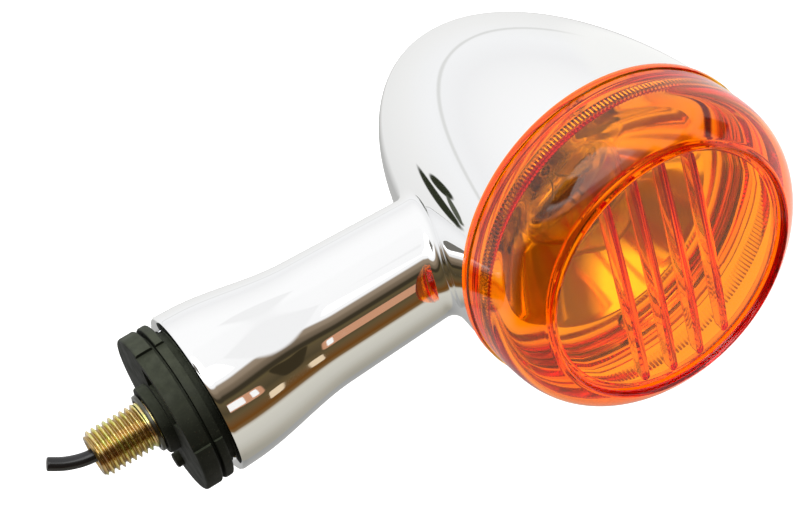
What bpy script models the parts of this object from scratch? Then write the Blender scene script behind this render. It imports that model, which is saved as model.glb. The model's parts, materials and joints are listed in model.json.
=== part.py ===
"""Motorcycle turn signal indicator: chromed bullet on a stem, amber lens, rubber damper, hollow M10 stud.

Row frame: the origin is the centre of the damper's mounting face, +X runs along the stem to the lamp, the
lens faces -Y and +Z is up. Sizes below are in millimetres and become metres when a mesh is made. Turned
pieces are drawn as (radius, height) outlines round their own axis: the stem's height is X, and the lamp's
height is forward, -Y.
"""

import math

import bmesh
import bpy
from mathutils import Euler, Vector

MM = 0.001
GAP = 0.3

# Driving sizes
STEM_LENGTH = 95.0
CHROME_START = 7.8
NECK_RADIUS = 12.45
STEM_TAPER = 0.04
FLARE = 2.45
FLARE_FROM = 12.0
FLARE_TO = 36.0
STEM_WALL = 2.2
STEM_FLOOR = (12.0, 14.5)
SOCKET_BORE = 14.6

SHELL_RADIUS = 34.6
SHELL_FRONT = 20.0
SHELL_DEPTH = 73.0
SHELL_POWER = 1.85
SHELL_WALL = 1.8
LEDGE = 15.5
LEDGE_RADIUS = 31.0
FILLET = 2.6

LENS_RADIUS = 35.3
LENS_REAR = 20.3
LENS_SKIRT = 34.9
LENS_WALL = 2.3
LENS_CREST = (27.8, 41.4)
SPIGOT = (31.3, 32.3)
RIB_COUNT = 4
RIB_PITCH = 6.55
RIB_WIDTH = 1.8

DAMPER_RADIUS = 17.1
BOSS_RADIUS = 7.3
BOSS_HEIGHT = 2.2
PEG_OFFSET = 12.4
STUD_RADIUS = 5.0
STUD_BORE = 3.0
STUD_TIP = -15.3
STUD_END = 23.5
PITCH = 1.25
THREAD_DEPTH = 0.77

PIN_PLANE = -23.0
CAP_RADIUS = 7.5
CAP_FRONT = -12.0
BULB_TIP = 20.0
BULB_RADIUS = 12.5
PUSH = 2.0
TWIST = math.radians(20)
SOCKET_INNER = 7.8
SOCKET_OUTER = 8.8
SOCKET_END = -42.1

REFLECTOR_EDGE = (24.6, 16.0)
REFLECTOR_NECK = 14.0
REFLECTOR_FLOOR = -11.4
FOCUS = 8.8
SCREW_CIRCLE = 28.8

CABLE_RADIUS = 1.4
CORE_RADIUS = 0.7


# ---------------------------------------------------------------- materials


def material(name, colour, roughness, metallic=0.0, alpha=1.0):
    made = bpy.data.materials.new(name)
    made.use_nodes = True
    shader = made.node_tree.nodes["Principled BSDF"]
    shader.inputs["Base Color"].default_value = (*colour, 1.0)
    shader.inputs["Roughness"].default_value = roughness
    shader.inputs["Metallic"].default_value = metallic
    shader.inputs["Alpha"].default_value = alpha
    made.diffuse_color = (*colour, alpha)
    return made


# ---------------------------------------------------------------- small tools


def arc(centre, radius, start, end, count):
    """Points on an arc, with angles in degrees and both ends included."""
    points = []
    for step in range(count + 1):
        angle = math.radians(start + (end - start) * step / count)
        points.append((centre[0] + radius * math.cos(angle), centre[1] + radius * math.sin(angle)))
    return points


def finish(work, name, skin=None, parent=None, smooth=30):
    """Turns a bmesh into a named object with outward faces."""
    bmesh.ops.recalc_face_normals(work, faces=work.faces)
    if work.calc_volume(signed=True) < 0:
        bmesh.ops.reverse_faces(work, faces=work.faces)
    mesh = bpy.data.meshes.new(name)
    work.to_mesh(mesh)
    work.free()
    mesh.shade_smooth()
    mesh.set_sharp_from_angle(angle=math.radians(smooth))
    made = bpy.data.objects.new(name, mesh)
    bpy.context.scene.collection.objects.link(made)
    if skin:
        mesh.materials.append(skin)
    made.parent = parent
    return made


def turned(name, outline, skin=None, parent=None, steps=48):
    """Spins a closed outline of (radius, height) points about the local Z axis."""
    work = bmesh.new()
    ring = [work.verts.new((r * MM, 0, h * MM)) for r, h in outline]
    sides = zip(ring, ring[1:] + ring[:1])
    edges = [work.edges.new(pair) for pair in sides if max(end.co.x for end in pair) > 1e-9]
    around = {"cent": (0, 0, 0), "axis": (0, 0, 1), "angle": math.tau, "steps": steps}
    bmesh.ops.spin(work, geom=ring + edges, use_merge=True, **around)
    bmesh.ops.remove_doubles(work, verts=work.verts, dist=1e-6)
    return finish(work, name, skin, parent)


def lofted(name, rings, skin=None, parent=None):
    """Joins rings of points, in millimetres, into one skin with capped ends."""
    work = bmesh.new()
    rows = [[work.verts.new(Vector(p) * MM) for p in ring] for ring in rings]
    work.faces.new(rows[0])
    work.faces.new(rows[-1])
    for low, high in zip(rows, rows[1:]):
        for i in range(len(low)):
            work.faces.new((low[i - 1], low[i], high[i], high[i - 1]))
    return finish(work, name, skin, parent)


def block(name, low, high, skin=None, parent=None):
    """A box between two corners."""
    outline = ((low[0], low[1]), (high[0], low[1]), (high[0], high[1]), (low[0], high[1]))
    rings = [[(x, y, z) for x, y in outline] for z in (low[2], high[2])]
    return lofted(name, rings, skin, parent)


def ring_sector(name, radii, heights, angles, parent, steps=12):
    """A piece of a thick ring: radii, heights and angles (in degrees) are (from, to)."""
    near, far = radii
    low, high = heights
    sections = []
    for step in range(steps + 1):
        turn = math.radians(angles[0] + (angles[1] - angles[0]) * step / steps)
        corners = ((near, low), (far, low), (far, high), (near, high))
        sections.append([(r * math.cos(turn), r * math.sin(turn), h) for r, h in corners])
    return lofted(name, sections, parent=parent)


def boolean(target, tool, operation, solver="EXACT"):
    """Adds a Boolean modifier and hides its tool from the render."""
    step = target.modifiers.new(f"{operation.lower()}_{tool.name}", "BOOLEAN")
    step.operation = operation
    step.solver = solver
    step.object = tool
    tool.hide_render = True
    tool.display_type = "WIRE"


def tube(name, points, radius, skin, sides=2, samples=5):
    """A round wire along a smooth curve through hand-chosen points, in millimetres."""
    curve = bpy.data.curves.new(name, "CURVE")
    curve.dimensions = "3D"
    curve.bevel_depth = radius * MM
    curve.bevel_resolution = sides
    curve.use_fill_caps = True
    path = smooth_route([Vector(p) for p in points], samples)
    spline = curve.splines.new("POLY")
    spline.points.add(len(path) - 1)
    for slot, point in zip(spline.points, path):
        slot.co = (*(point * MM), 1)
    curve.materials.append(skin)
    made = bpy.data.objects.new(name, curve)
    bpy.context.scene.collection.objects.link(made)
    return made


def smooth_route(points, samples):
    """Catmull-Rom curve through the points."""
    padded = [points[0] * 2 - points[1], *points, points[-1] * 2 - points[-2]]
    path = []
    for p0, p1, p2, p3 in zip(padded, padded[1:], padded[2:], padded[3:]):
        for step in range(samples):
            t = step / samples
            bend = (2 * p0 - 5 * p1 + 4 * p2 - p3) * t**2 + (3 * p1 - p0 - 3 * p2 + p3) * t**3
            path.append(0.5 * (2 * p1 + (p2 - p0) * t + bend))
    return [*path, points[-1]]


def axis_empty(name, location, turn):
    made = bpy.data.objects.new(name, None)
    made.location = Vector(location) * MM
    made.rotation_euler = Euler(turn)
    bpy.context.scene.collection.objects.link(made)
    return made


# ---------------------------------------------------------------- housing


def stem_radius(x):
    """Outer radius of the stem: a slight taper with a smooth flare towards its foot."""
    t = min(max((x - FLARE_FROM) / (FLARE_TO - FLARE_FROM), 0.0), 1.0)
    return NECK_RADIUS + STEM_TAPER * (70.0 - x) + FLARE * (1 - t * t * (3 - 2 * t))


def shell_radius(forward, radius=SHELL_RADIUS, front=SHELL_FRONT, depth=SHELL_DEPTH):
    """Radius of the bullet at a forward coordinate, as a superellipse."""
    t = min(max((front - forward) / depth, 0.0), 1.0)
    return radius * math.sqrt(max(1 - t**SHELL_POWER, 0.0))


def bullet_outline(radius, front, depth, count):
    """Closed outline of a solid bullet, with points closer together towards its tip."""
    points = [(0.0, front)]
    for step in range(count):
        forward = front - depth * math.sin(math.pi / 2 * step / count)
        points.append((shell_radius(forward, radius, front, depth), forward))
    return [*points, (0.0, front - depth)]


def nearest_on_shell(point):
    """Closest point of the bullet's outer surface to a point in row coordinates, and the distance to it."""
    offset = Vector(point) - Vector((STEM_LENGTH, 0, 0))
    radial = Vector((offset.x, 0, offset.z))
    out = radial.normalized()
    best = None
    for step in range(241):
        forward = 20.0 - step * 0.2
        place = out * shell_radius(forward) + Vector((0, -forward, 0))
        gap = (place - offset).length
        if best is None or gap < best[1]:
            best = (place + Vector((STEM_LENGTH, 0, 0)), gap)
    return best


def fillet_arc(turn, count):
    """The rolling-ball arc from the stem to the bullet, at one angle round the stem."""
    across = Vector((0, math.cos(turn), math.sin(turn)))
    low, high = 45.0, 75.0
    for _ in range(24):
        x = (low + high) / 2
        centre = Vector((x, 0, 0)) + across * (stem_radius(x) + FILLET)
        if nearest_on_shell(centre)[1] > FILLET:
            low = x
        else:
            high = x
    start = across * -FILLET
    end = nearest_on_shell(centre)[0] - centre
    angle = start.angle(end)
    points = []
    for step in range(count + 1):
        t = step / count
        blend = (start * math.sin((1 - t) * angle) + end * math.sin(t * angle)) / math.sin(angle)
        points.append(centre + blend.normalized() * FILLET)
    return points


def make_stem_solid(sides=32):
    """The stem without its bores, ending in the fillet that meets the bullet."""
    foot = [(CHROME_START, -0.7), (CHROME_START + 0.2, -0.25), (CHROME_START + 0.7, 0.0)]
    stations = [FLARE_FROM + (FLARE_TO - FLARE_FROM) * i / 7 for i in range(8)]
    columns = []
    for side in range(sides):
        turn = math.tau * side / sides
        across = Vector((0, math.cos(turn), math.sin(turn)))
        ends = fillet_arc(turn, 4)
        column = [Vector((x, 0, 0)) + across * (stem_radius(x) + dip) for x, dip in foot]
        column += [Vector((x, 0, 0)) + across * stem_radius(x) for x in stations]
        for share in (0.35, 0.7):
            x = FLARE_TO + (ends[0].x - FLARE_TO) * share
            column.append(Vector((x, 0, 0)) + across * stem_radius(x))
        column += ends
        inward = (Vector((STEM_LENGTH, ends[-1].y, 0)) - ends[-1]).normalized()
        column.append(ends[-1] + inward)
        column.append(Vector((STEM_LENGTH - 26.0, 0, 0)) + across * 8.0)
        columns.append(column)
    return lofted("stem_solid", list(zip(*columns)))


def make_housing(chrome, lamp, stem):
    outline = bullet_outline(SHELL_RADIUS, SHELL_FRONT, SHELL_DEPTH, 16)
    housing = turned("lamp_housing", outline, chrome, lamp)
    boolean(housing, make_stem_solid(), "UNION", "MANIFOLD")

    seat = SHELL_RADIUS - 0.7
    rim = SHELL_RADIUS - SHELL_WALL
    inside = bullet_outline(LEDGE_RADIUS, LEDGE, 65.5, 10)[1:]
    step = SHELL_FRONT - 1.2
    hollow = [(0.0, 24.0), (seat, 24.0), (seat, step), (rim, step), (rim, LEDGE), *inside]
    boolean(housing, turned("shell_hollow", hollow, parent=lamp, steps=32), "DIFFERENCE", "MANIFOLD")

    bore = [(0.0, CHROME_START - 2), (SOCKET_BORE, CHROME_START - 2), (SOCKET_BORE, STEM_FLOOR[0]),
            (STUD_RADIUS + GAP, STEM_FLOOR[0]), (STUD_RADIUS + GAP, STEM_FLOOR[1])]
    bore += [(stem_radius(x) - STEM_WALL, x) for x in (STEM_FLOOR[1], 22, 29, 36, STEM_LENGTH - 22)]
    bore.append((0.0, STEM_LENGTH - 22))
    boolean(housing, turned("stem_bore", bore, parent=stem, steps=24), "DIFFERENCE", "MANIFOLD")

    for name, side in (("upper", 1), ("lower", -1)):
        post = [(0, 6), (2.8, 6), (2.8, LEDGE), (0, LEDGE)]
        boss = turned(f"boss_{name}", post, parent=lamp, steps=12)
        boss.location.y = side * SCREW_CIRCLE * MM
        boolean(housing, boss, "UNION", "MANIFOLD")
        drill = [(0, 8), (1.55, 8), (1.55, LEDGE + 2), (0, LEDGE + 2)]
        hole = turned(f"boss_hole_{name}", drill, parent=lamp, steps=12)
        hole.location.y = side * SCREW_CIRCLE * MM
        boolean(housing, hole, "DIFFERENCE", "MANIFOLD")


# ---------------------------------------------------------------- lens and optics


def shoulder(forward, edge, start, crest):
    """Radius of the lens skirt at a forward coordinate: straight at first, then rounding in to the crest."""
    t = max((forward - start) / (crest[1] - start), 0.0)
    return edge - (edge - crest[0]) * t**3.2


def make_lens(amber, lamp):
    outer = [(LENS_RADIUS - 0.2, LENS_REAR), (LENS_RADIUS, LENS_REAR + 0.3), (LENS_RADIUS, 21.9)]
    outer.append((LENS_SKIRT, 22.3))
    outer += [(shoulder(h, LENS_SKIRT, 26.0, LENS_CREST), h) for h in (27, 31, 34, 36.5, 38.5, 40, 41.4)]
    outer += [(27.3, 41.2), (27.0, 40.1), (18.0, 40.9), (9.0, 41.35), (0.0, 41.5)]
    inner_crest = (LENS_CREST[0] - 2.4, LENS_CREST[1] - 3.2)
    inner_edge = LENS_SKIRT - LENS_WALL
    inner = [(0.0, 39.3), (9.0, 39.15), (18.0, 38.7), inner_crest]
    inner += [(shoulder(h, inner_edge, 25.0, inner_crest), h) for h in (37.0, 35.0, 32.0, 28.0, 25.0)]
    thin, thick = SPIGOT
    spigot = [(inner_edge, 22.6), (thin, 21.6), (thin, 17.2), (thick, 17.2), (thick, LENS_REAR)]
    lens = turned("lens", outer + inner + spigot, amber, lamp, 44)
    for number in range(RIB_COUNT):
        across = (number - (RIB_COUNT - 1) / 2) * RIB_PITCH
        half = math.sqrt(26.6**2 - (abs(across) + RIB_WIDTH / 2) ** 2) - 0.6
        low = (across - RIB_WIDTH / 2, -half, 35.6)
        high = (across + RIB_WIDTH / 2, half, 39.5)
        boolean(lens, block(f"rib_{number}", low, high, parent=lamp), "UNION")


def make_gasket(rubber, lamp):
    inner, outer = SHELL_RADIUS - 1.6, SHELL_RADIUS - 1.0
    low, high = SHELL_FRONT - 0.9, LENS_REAR - GAP
    ring = [(inner, low), (outer, low), (outer, high), (inner, high)]
    turned("lens_gasket", ring, rubber, lamp, 40)


def bowl_height(radius, vertex, focal):
    return vertex + radius**2 / (4 * focal)


def make_reflector(mirror, lamp):
    """A parabolic bowl focused on the filament, a neck round the bulb and a floor that carries the socket."""
    reach = REFLECTOR_EDGE[1] - FOCUS
    focal = (-reach + math.hypot(reach, REFLECTOR_EDGE[0])) / 2
    vertex = FOCUS - focal
    wall = 0.9
    bowl = [REFLECTOR_NECK + (REFLECTOR_EDGE[0] - REFLECTOR_NECK) * i / 5 for i in range(6)]
    neck = bowl_height(REFLECTOR_NECK, vertex, focal)
    rim = LEDGE + GAP
    front = [(r, bowl_height(r, vertex, focal)) for r in reversed(bowl)]
    back = [(r + wall * 0.75, bowl_height(r, vertex, focal) - wall * 0.75) for r in bowl[:-1]]
    hole, top = 9.2, REFLECTOR_FLOOR + wall
    floor = [(REFLECTOR_NECK - 1.0, top), (hole, top), (hole, REFLECTOR_FLOOR)]
    floor += [(REFLECTOR_NECK - 0.1, REFLECTOR_FLOOR), (REFLECTOR_NECK + wall, neck - 3.0)]
    outline = [(32.4, rim), (32.4, rim + 1.0), (REFLECTOR_EDGE[0] + 0.8, rim + 1.0), *front, *floor, *back]
    outline.append((REFLECTOR_EDGE[0] + 1.1, rim))
    reflector = turned("reflector", outline, mirror, lamp, 32)
    for name, side in (("upper", 1), ("lower", -1)):
        drill = [(0, 14), (1.6, 14), (1.6, 19), (0, 19)]
        clearance = turned(f"flange_hole_{name}", drill, parent=lamp, steps=16)
        clearance.location.y = side * SCREW_CIRCLE * MM
        boolean(reflector, clearance, "DIFFERENCE")


def make_reflector_screws(zinc, lamp):
    base = LEDGE + GAP + 1.0 + GAP
    outline = [(0, 9.5), (0.7, 9.5), (1.25, 10.4), (1.25, base), (2.1, base), (2.1, base + 0.6)]
    outline += [(1.6, base + 1.3), (0, base + 1.4)]
    for name, side in (("upper", 1), ("lower", -1)):
        screw = turned(f"reflector_screw_{name}", outline, zinc, lamp, 24)
        screw.location.y = side * SCREW_CIRCLE * MM
        for turn in (0, math.pi / 2):
            low, high = (-1.2, -0.25, base + 0.7), (1.2, 0.25, base + 2)
            slot = block(f"recess_{name}_{turn:.0f}", low, high, parent=screw)
            slot.rotation_euler.z = turn
            boolean(screw, slot, "DIFFERENCE")


# ---------------------------------------------------------------- socket and bulb


def make_socket(steel, lamp):
    flange = REFLECTOR_FLOOR - GAP
    outline = [(SOCKET_INNER, flange), (12.6, flange), (12.6, flange - 0.8), (SOCKET_OUTER, flange - 0.8)]
    outline += [(SOCKET_OUTER, SOCKET_END), (6.6, SOCKET_END), (6.6, SOCKET_END + 0.8)]
    outline.append((SOCKET_INNER, SOCKET_END + 0.8))
    socket = turned("bulb_socket", outline, steel, lamp, 32)
    half_width = math.degrees(1.3 / SOCKET_OUTER)
    turn = math.degrees(TWIST)
    for side in (0, 180):
        radii = (SOCKET_INNER - 0.6, SOCKET_OUTER + 0.25)
        run = ring_sector(f"slot_run_{side}", radii, (PIN_PLANE - PUSH - 1.3, PIN_PLANE + 1.3),
                          (side - half_width, side + turn + half_width), lamp)
        entry = ring_sector(f"slot_entry_{side}", radii, (PIN_PLANE - 0.5, flange + 1.0),
                            (side + turn - half_width, side + turn + half_width), lamp)
        boolean(socket, run, "DIFFERENCE")
        boolean(socket, entry, "DIFFERENCE")


def make_contacts(bakelite, brass, spring_steel, lamp):
    face = -32.5 - GAP
    plunger = [(0, face), (2.6, face), (3.0, face - 0.4), (3.0, face - 1.2), (1.1, face - 1.2)]
    plunger += [(1.1, -42.9), (0, -42.9)]
    turned("contact_plunger", plunger, brass, lamp, 20)
    disc = [(1.4, -38.9), (7.45, -38.9), (7.45, -41.0), (1.4, -41.0)]
    turned("socket_insulator", disc, bakelite, lamp, 32)
    ring = [(1.5, -41.3), (3.2, -41.3), (3.2, -41.9), (1.5, -41.9)]
    terminal = turned("live_terminal", ring, brass, lamp, 20)
    tongue = block("terminal_tongue", (-6.0, -1.1, -41.88), (-2.6, 1.1, -41.32), parent=lamp)
    blade = block("terminal_blade", (-6.01, -1.09, -46.0), (-5.4, 1.09, -41.34), parent=lamp)
    boolean(terminal, tongue, "UNION")
    boolean(terminal, blade, "UNION")
    turns, per_turn = 4, 10
    radius, wire = 2.1, 0.28
    start, end = face - 1.2 - GAP - wire, -38.9 + GAP + wire
    points = []
    for step in range(turns * per_turn + 1):
        angle = math.tau * step / per_turn
        height = start + (end - start) * step / (turns * per_turn)
        points.append(lamp_point(radius * math.cos(angle), radius * math.sin(angle), height))
    tube("contact_spring", points, wire, spring_steel, sides=1, samples=1)


def make_earth_tab(brass, lamp):
    flange = REFLECTOR_FLOOR - GAP - 0.8 - GAP
    tab = block("earth_tab", (-13.6, -1.6, flange - 0.6), (-9.4, 1.6, flange), brass, lamp)
    foot = block("earth_foot", (-13.6, -1.6, flange - 4.6), (-13.0, 1.6, flange - 0.2), parent=lamp)
    boolean(tab, foot, "UNION")


def make_bulb(glass, brass, black, tungsten, lamp):
    cap = [(CAP_RADIUS, CAP_FRONT), (CAP_RADIUS, -28.4), (5.8, -30.2), (4.6, -30.2), (4.6, -29.6)]
    cap += [(7.1, -28.0), (7.1, CAP_FRONT)]
    shell = turned("bulb_cap", cap, brass, lamp, 28)
    root = CAP_RADIUS - 0.25
    stub = [(0, root), (1.0, root), (1.0, 8.3), (0.8, 8.5), (0, 8.5)]
    for side in (1, -1):
        pin = turned(f"pin_{side}", stub, parent=lamp, steps=16)
        pin.location.z = PIN_PLANE * MM
        pin.rotation_euler.y = side * math.pi / 2
        boolean(shell, pin, "UNION")
    plug = [(0, -28.6), (4.3, -28.6), (4.3, -30.4), (3.2, -31.0), (0, -31.0)]
    turned("bulb_insulator", plug, black, lamp, 20)
    button = [(0, -31.3), (1.9, -31.3), (1.9, -32.1), (1.2, -32.5), (0, -32.5)]
    turned("bulb_contact", button, brass, lamp, 16)

    neck, thickness, middle = 6.6, 0.7, BULB_TIP - BULB_RADIUS
    widen = [(neck, -23.0), (neck, -11.5), (7.4, -8.0), (10.2, -1.5)]
    outer = widen + arc((0, middle), BULB_RADIUS, -15, 90, 7)
    inner = arc((0, middle), BULB_RADIUS - thickness, 90, -15, 7)
    inner += [(r - thickness, h) for r, h in reversed(widen)]
    turned("bulb_glass", outer + inner, glass, lamp, 24)
    stem = [(0, -22.0), (3.6, -22.0), (3.2, -14.0), (1.9, -9.0), (1.9, -6.0), (0, -6.0)]
    turned("bulb_stem", stem, glass, lamp, 16)
    make_filament(tungsten)


def lamp_point(across, up, forward):
    """A point given on the lamp's axes, in row coordinates."""
    return (STEM_LENGTH + across, -forward, up)


def make_filament(tungsten):
    reach = 3.2
    for name, side in (("left", -1), ("right", 1)):
        bends = ((1.0, -5.5), (1.3, 0.0), (2.8, 5.5), (reach + 0.6, FOCUS))
        route = [lamp_point(side * across, 0, forward) for across, forward in bends]
        tube(f"filament_support_{name}", route, 0.25, tungsten, sides=1, samples=3)
    turns, per_turn, radius = 7, 7, 0.55
    coil = []
    for step in range(turns * per_turn + 1):
        angle = math.tau * step / per_turn
        across = -reach + 2 * reach * step / (turns * per_turn)
        coil.append(lamp_point(across, radius * math.sin(angle), FOCUS + radius * math.cos(angle)))
    tube("filament", coil, 0.12, tungsten, sides=1, samples=1)


# ---------------------------------------------------------------- foot: damper, stud, nut


def make_damper(rubber, stem):
    """Two flanges with a groove between, a plug in the stem's socket, a boss and a peg for the bracket."""
    r = DAMPER_RADIUS
    bore = STUD_RADIUS + GAP
    plug, top = SOCKET_BORE - GAP, STEM_FLOOR[0] - GAP
    outline = [(bore, -BOSS_HEIGHT), (BOSS_RADIUS - 0.4, -BOSS_HEIGHT), (BOSS_RADIUS, 0.4 - BOSS_HEIGHT)]
    outline += [(BOSS_RADIUS, 0), (r - 0.5, 0), (r, 0.6), (r, 3.3), (r - 0.4, 3.7)]
    outline += [(r - 1.7, 3.7), (r - 1.7, 4.4), (r - 0.5, 4.4), (r - 0.1, 4.8), (r - 0.3, 6.1)]
    outline += [(r - 0.8, 6.3), (plug, 6.3), (plug, top), (bore, top)]
    damper = turned("base_damper", outline, rubber, stem, 36)
    step_cut = ring_sector("damper_step", (r - 0.7, r + 2), (-1, 7), (182, 262), stem)
    pocket = ring_sector("damper_pocket", (9.2, 14.6), (-1, 2.0), (186, 245), stem)
    boolean(damper, step_cut, "DIFFERENCE")
    boolean(damper, pocket, "DIFFERENCE")
    stub = [(0, -1.4), (1.3, -1.4), (1.6, -1.1), (1.6, 1.0), (0, 1.0)]
    peg = turned("damper_peg", stub, parent=stem, steps=16)
    peg.location.x = PEG_OFFSET * MM
    boolean(damper, peg, "UNION")


def make_stud(zinc, stem):
    """Hollow stud with ridges at the thread's pitch on its free end."""
    root = STUD_RADIUS - THREAD_DEPTH
    crests = int((-3.4 - STUD_TIP) / PITCH)
    outline = [(STUD_BORE, STUD_TIP), (root, STUD_TIP)]
    for number in range(crests):
        low = STUD_TIP + 0.3 + number * PITCH
        outline += [(root, low), (STUD_RADIUS, low + PITCH * 0.44), (STUD_RADIUS, low + PITCH * 0.56)]
    shank = STUD_RADIUS - 0.1
    outline += [(root, STUD_TIP + 0.3 + crests * PITCH), (shank, -3.4), (shank, STUD_END)]
    outline.append((STUD_BORE, STUD_END))
    turned("mounting_stud", outline, zinc, stem, 24)


def make_fasteners(zinc, steel, rubber, stem):
    hole = STUD_RADIUS + 0.25
    collar = [(hole, -3.3), (5.9, -3.3), (6.2, -3.0), (6.2, -2.5), (hole, -2.5)]
    turned("stud_collar", collar, steel, stem, 32)
    low = STEM_FLOOR[1] + GAP
    high = low + 1.2
    turned("stem_washer", [(hole, low), (9.6, low), (9.6, high), (hole, high)], steel, stem, 28)
    low = high + GAP
    high = low + 6.0
    nut = turned("stem_nut", [(0, low), (9.24, low), (9.24, high), (0, high)], zinc, stem, 6)
    drill = [(0, low - 1), (hole, low - 1), (hole, high + 1), (0, high + 1)]
    boolean(nut, turned("nut_bore", drill, parent=stem, steps=24), "DIFFERENCE")
    lip = STUD_END + GAP
    sleeve = [(1.7, 18.0), (2.7, 18.0), (2.7, lip), (4.4, lip), (4.4, 25.4), (1.7, 25.4)]
    turned("lead_grommet", sleeve, rubber, stem, 20)


# ---------------------------------------------------------------- wires


def make_wires(pvc, live, earth):
    """The lead from its cut end through the stud and stem, then its two cores behind the reflector."""
    lead = [(-23.8, 2.3, 2.5), (-20.5, 1.2, 1.0), (-16.5, 0.4, 0.1), (-11, 0, 0), (0, 0, 0), (24, 0, 0)]
    lead += [(40, 0, -1.5), (56, 1, -1), (67, 4, 0), (72.5, 9, 0)]
    tube("lead_cable", lead, CABLE_RADIUS, pvc, samples=4)
    live_route = [(73.3, 10.4, 0.8), (76, 17, 1.6), (78.4, 27, 1.2), (80.5, 35, 0.6), (82.4, 41.2, 0)]
    live_route += [(84.9, 44.2, 0), (87.9, 44.6, 0)]
    tube("live_wire", live_route, CORE_RADIUS, live, samples=3)
    earth_route = [(73.4, 10.2, -0.9), (76.2, 12.6, -1.6), (78.6, 14.4, -1.0), (80.4, 15.4, 0)]
    tube("earth_wire", earth_route, CORE_RADIUS, earth, samples=3)


def main():
    for thing in list(bpy.data.objects):
        bpy.data.objects.remove(thing)

    chrome = material("chrome", (0.86, 0.87, 0.88), 0.06, 1.0)
    amber = material("amber", (0.95, 0.27, 0.01), 0.08, 0.0, 0.55)
    rubber = material("rubber", (0.03, 0.033, 0.03), 0.62)
    zinc = material("yellow_zinc", (0.72, 0.56, 0.22), 0.25, 1.0)
    steel = material("bright_steel", (0.62, 0.62, 0.6), 0.25, 1.0)
    mirror = material("reflector_silver", (0.85, 0.83, 0.78), 0.08, 1.0)
    glass = material("clear_glass", (0.95, 0.97, 0.97), 0.02, 0.0, 0.35)
    brass = material("brass", (0.75, 0.58, 0.28), 0.3, 1.0)
    black = material("black_plastic", (0.02, 0.02, 0.02), 0.4)
    bakelite = material("bakelite", (0.16, 0.08, 0.04), 0.45)
    tungsten = material("tungsten", (0.4, 0.4, 0.42), 0.35, 1.0)
    spring_steel = material("spring_steel", (0.5, 0.5, 0.5), 0.3, 1.0)
    pvc = material("lead_pvc", (0.015, 0.015, 0.015), 0.25)
    live = material("live_pvc", (0.02, 0.16, 0.05), 0.3)
    earth = material("earth_pvc", (0.03, 0.03, 0.03), 0.3)

    stem = axis_empty("stem_axis", (0, 0, 0), (0, math.pi / 2, 0))
    lamp = axis_empty("lamp_axis", (STEM_LENGTH, 0, 0), (math.pi / 2, 0, 0))

    make_housing(chrome, lamp, stem)
    make_lens(amber, lamp)
    make_gasket(rubber, lamp)
    make_reflector(mirror, lamp)
    make_reflector_screws(zinc, lamp)
    make_socket(steel, lamp)
    make_contacts(bakelite, brass, spring_steel, lamp)
    make_earth_tab(brass, lamp)
    make_bulb(glass, brass, black, tungsten, lamp)
    make_damper(rubber, stem)
    make_stud(zinc, stem)
    make_fasteners(zinc, steel, rubber, stem)
    make_wires(pvc, live, earth)


main()
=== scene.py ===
"""Motorcycle turn signal indicator: the detailed model, its finishes, the studio and the camera.

The row frame is the CAD's: the origin is the centre of the damper's mounting face, +X runs along the stem
to the lamp, the lens faces -Y and +Z is up. Sizes are in millimetres and become metres when a mesh is made.
Turned pieces are drawn as (radius, height) outlines: the stem's height is X, and the lamp's is forward, -Y.
"""

import json
import math

import bmesh
import bpy
import numpy as np
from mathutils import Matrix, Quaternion, Vector

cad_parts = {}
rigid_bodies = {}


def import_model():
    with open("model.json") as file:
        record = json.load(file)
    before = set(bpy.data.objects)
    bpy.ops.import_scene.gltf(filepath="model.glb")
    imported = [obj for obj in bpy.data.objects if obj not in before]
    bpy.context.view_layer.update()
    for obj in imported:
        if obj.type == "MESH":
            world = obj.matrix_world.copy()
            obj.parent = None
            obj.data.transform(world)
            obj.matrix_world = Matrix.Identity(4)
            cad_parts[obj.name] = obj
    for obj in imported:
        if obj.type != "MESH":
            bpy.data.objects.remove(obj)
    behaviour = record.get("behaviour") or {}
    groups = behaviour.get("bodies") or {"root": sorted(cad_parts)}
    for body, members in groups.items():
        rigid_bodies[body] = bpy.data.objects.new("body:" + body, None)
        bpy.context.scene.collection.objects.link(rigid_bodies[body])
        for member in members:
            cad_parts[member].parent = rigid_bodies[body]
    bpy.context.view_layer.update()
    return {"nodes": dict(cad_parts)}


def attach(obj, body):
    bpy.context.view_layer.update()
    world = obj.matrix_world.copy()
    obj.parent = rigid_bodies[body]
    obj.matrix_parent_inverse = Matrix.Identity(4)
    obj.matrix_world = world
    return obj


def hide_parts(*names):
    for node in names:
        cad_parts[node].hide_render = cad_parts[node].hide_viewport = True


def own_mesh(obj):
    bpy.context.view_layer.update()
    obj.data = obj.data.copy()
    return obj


MM = 0.001
TAU = math.tau

for leftover in list(bpy.data.objects):
    bpy.data.objects.remove(leftover)
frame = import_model()

# Driving sizes, as in the CAD
STEM_LENGTH = 95.0
CHROME_START = 7.8
NECK_RADIUS = 12.45
STEM_TAPER = 0.04
FLARE = 2.45
FLARE_FROM = 12.0
FLARE_TO = 36.0
STEM_WALL = 2.2
STEM_FLOOR = (12.0, 14.5)
SOCKET_BORE = 14.6
STUD_HOLE = 5.3

SHELL_RADIUS = 34.6
SHELL_FRONT = 20.0
SHELL_DEPTH = 73.0
SHELL_POWER = 1.85
SHELL_SEAT = (33.9, 18.8)
SHELL_RIM = 32.8
LEDGE = 15.5
LEDGE_RADIUS = 31.0
LEDGE_DEPTH = 65.5
FILLET = 2.6
SCREW_CIRCLE = 28.8
FLOOR_HEIGHT = -0.16

LENS_SKIRT = 34.9
LENS_CREST = (27.8, 41.4)
INNER_SKIRT = 32.6
INNER_CREST = (25.4, 38.2)
RIB_COUNT = 4
RIB_PITCH = 6.55

REFLECTOR_EDGE = (24.6, 16.0)
REFLECTOR_NECK = 14.0
REFLECTOR_FLOOR = -11.4
FOCUS = 8.8


# ---------------------------------------------------------------- shader tools


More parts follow.
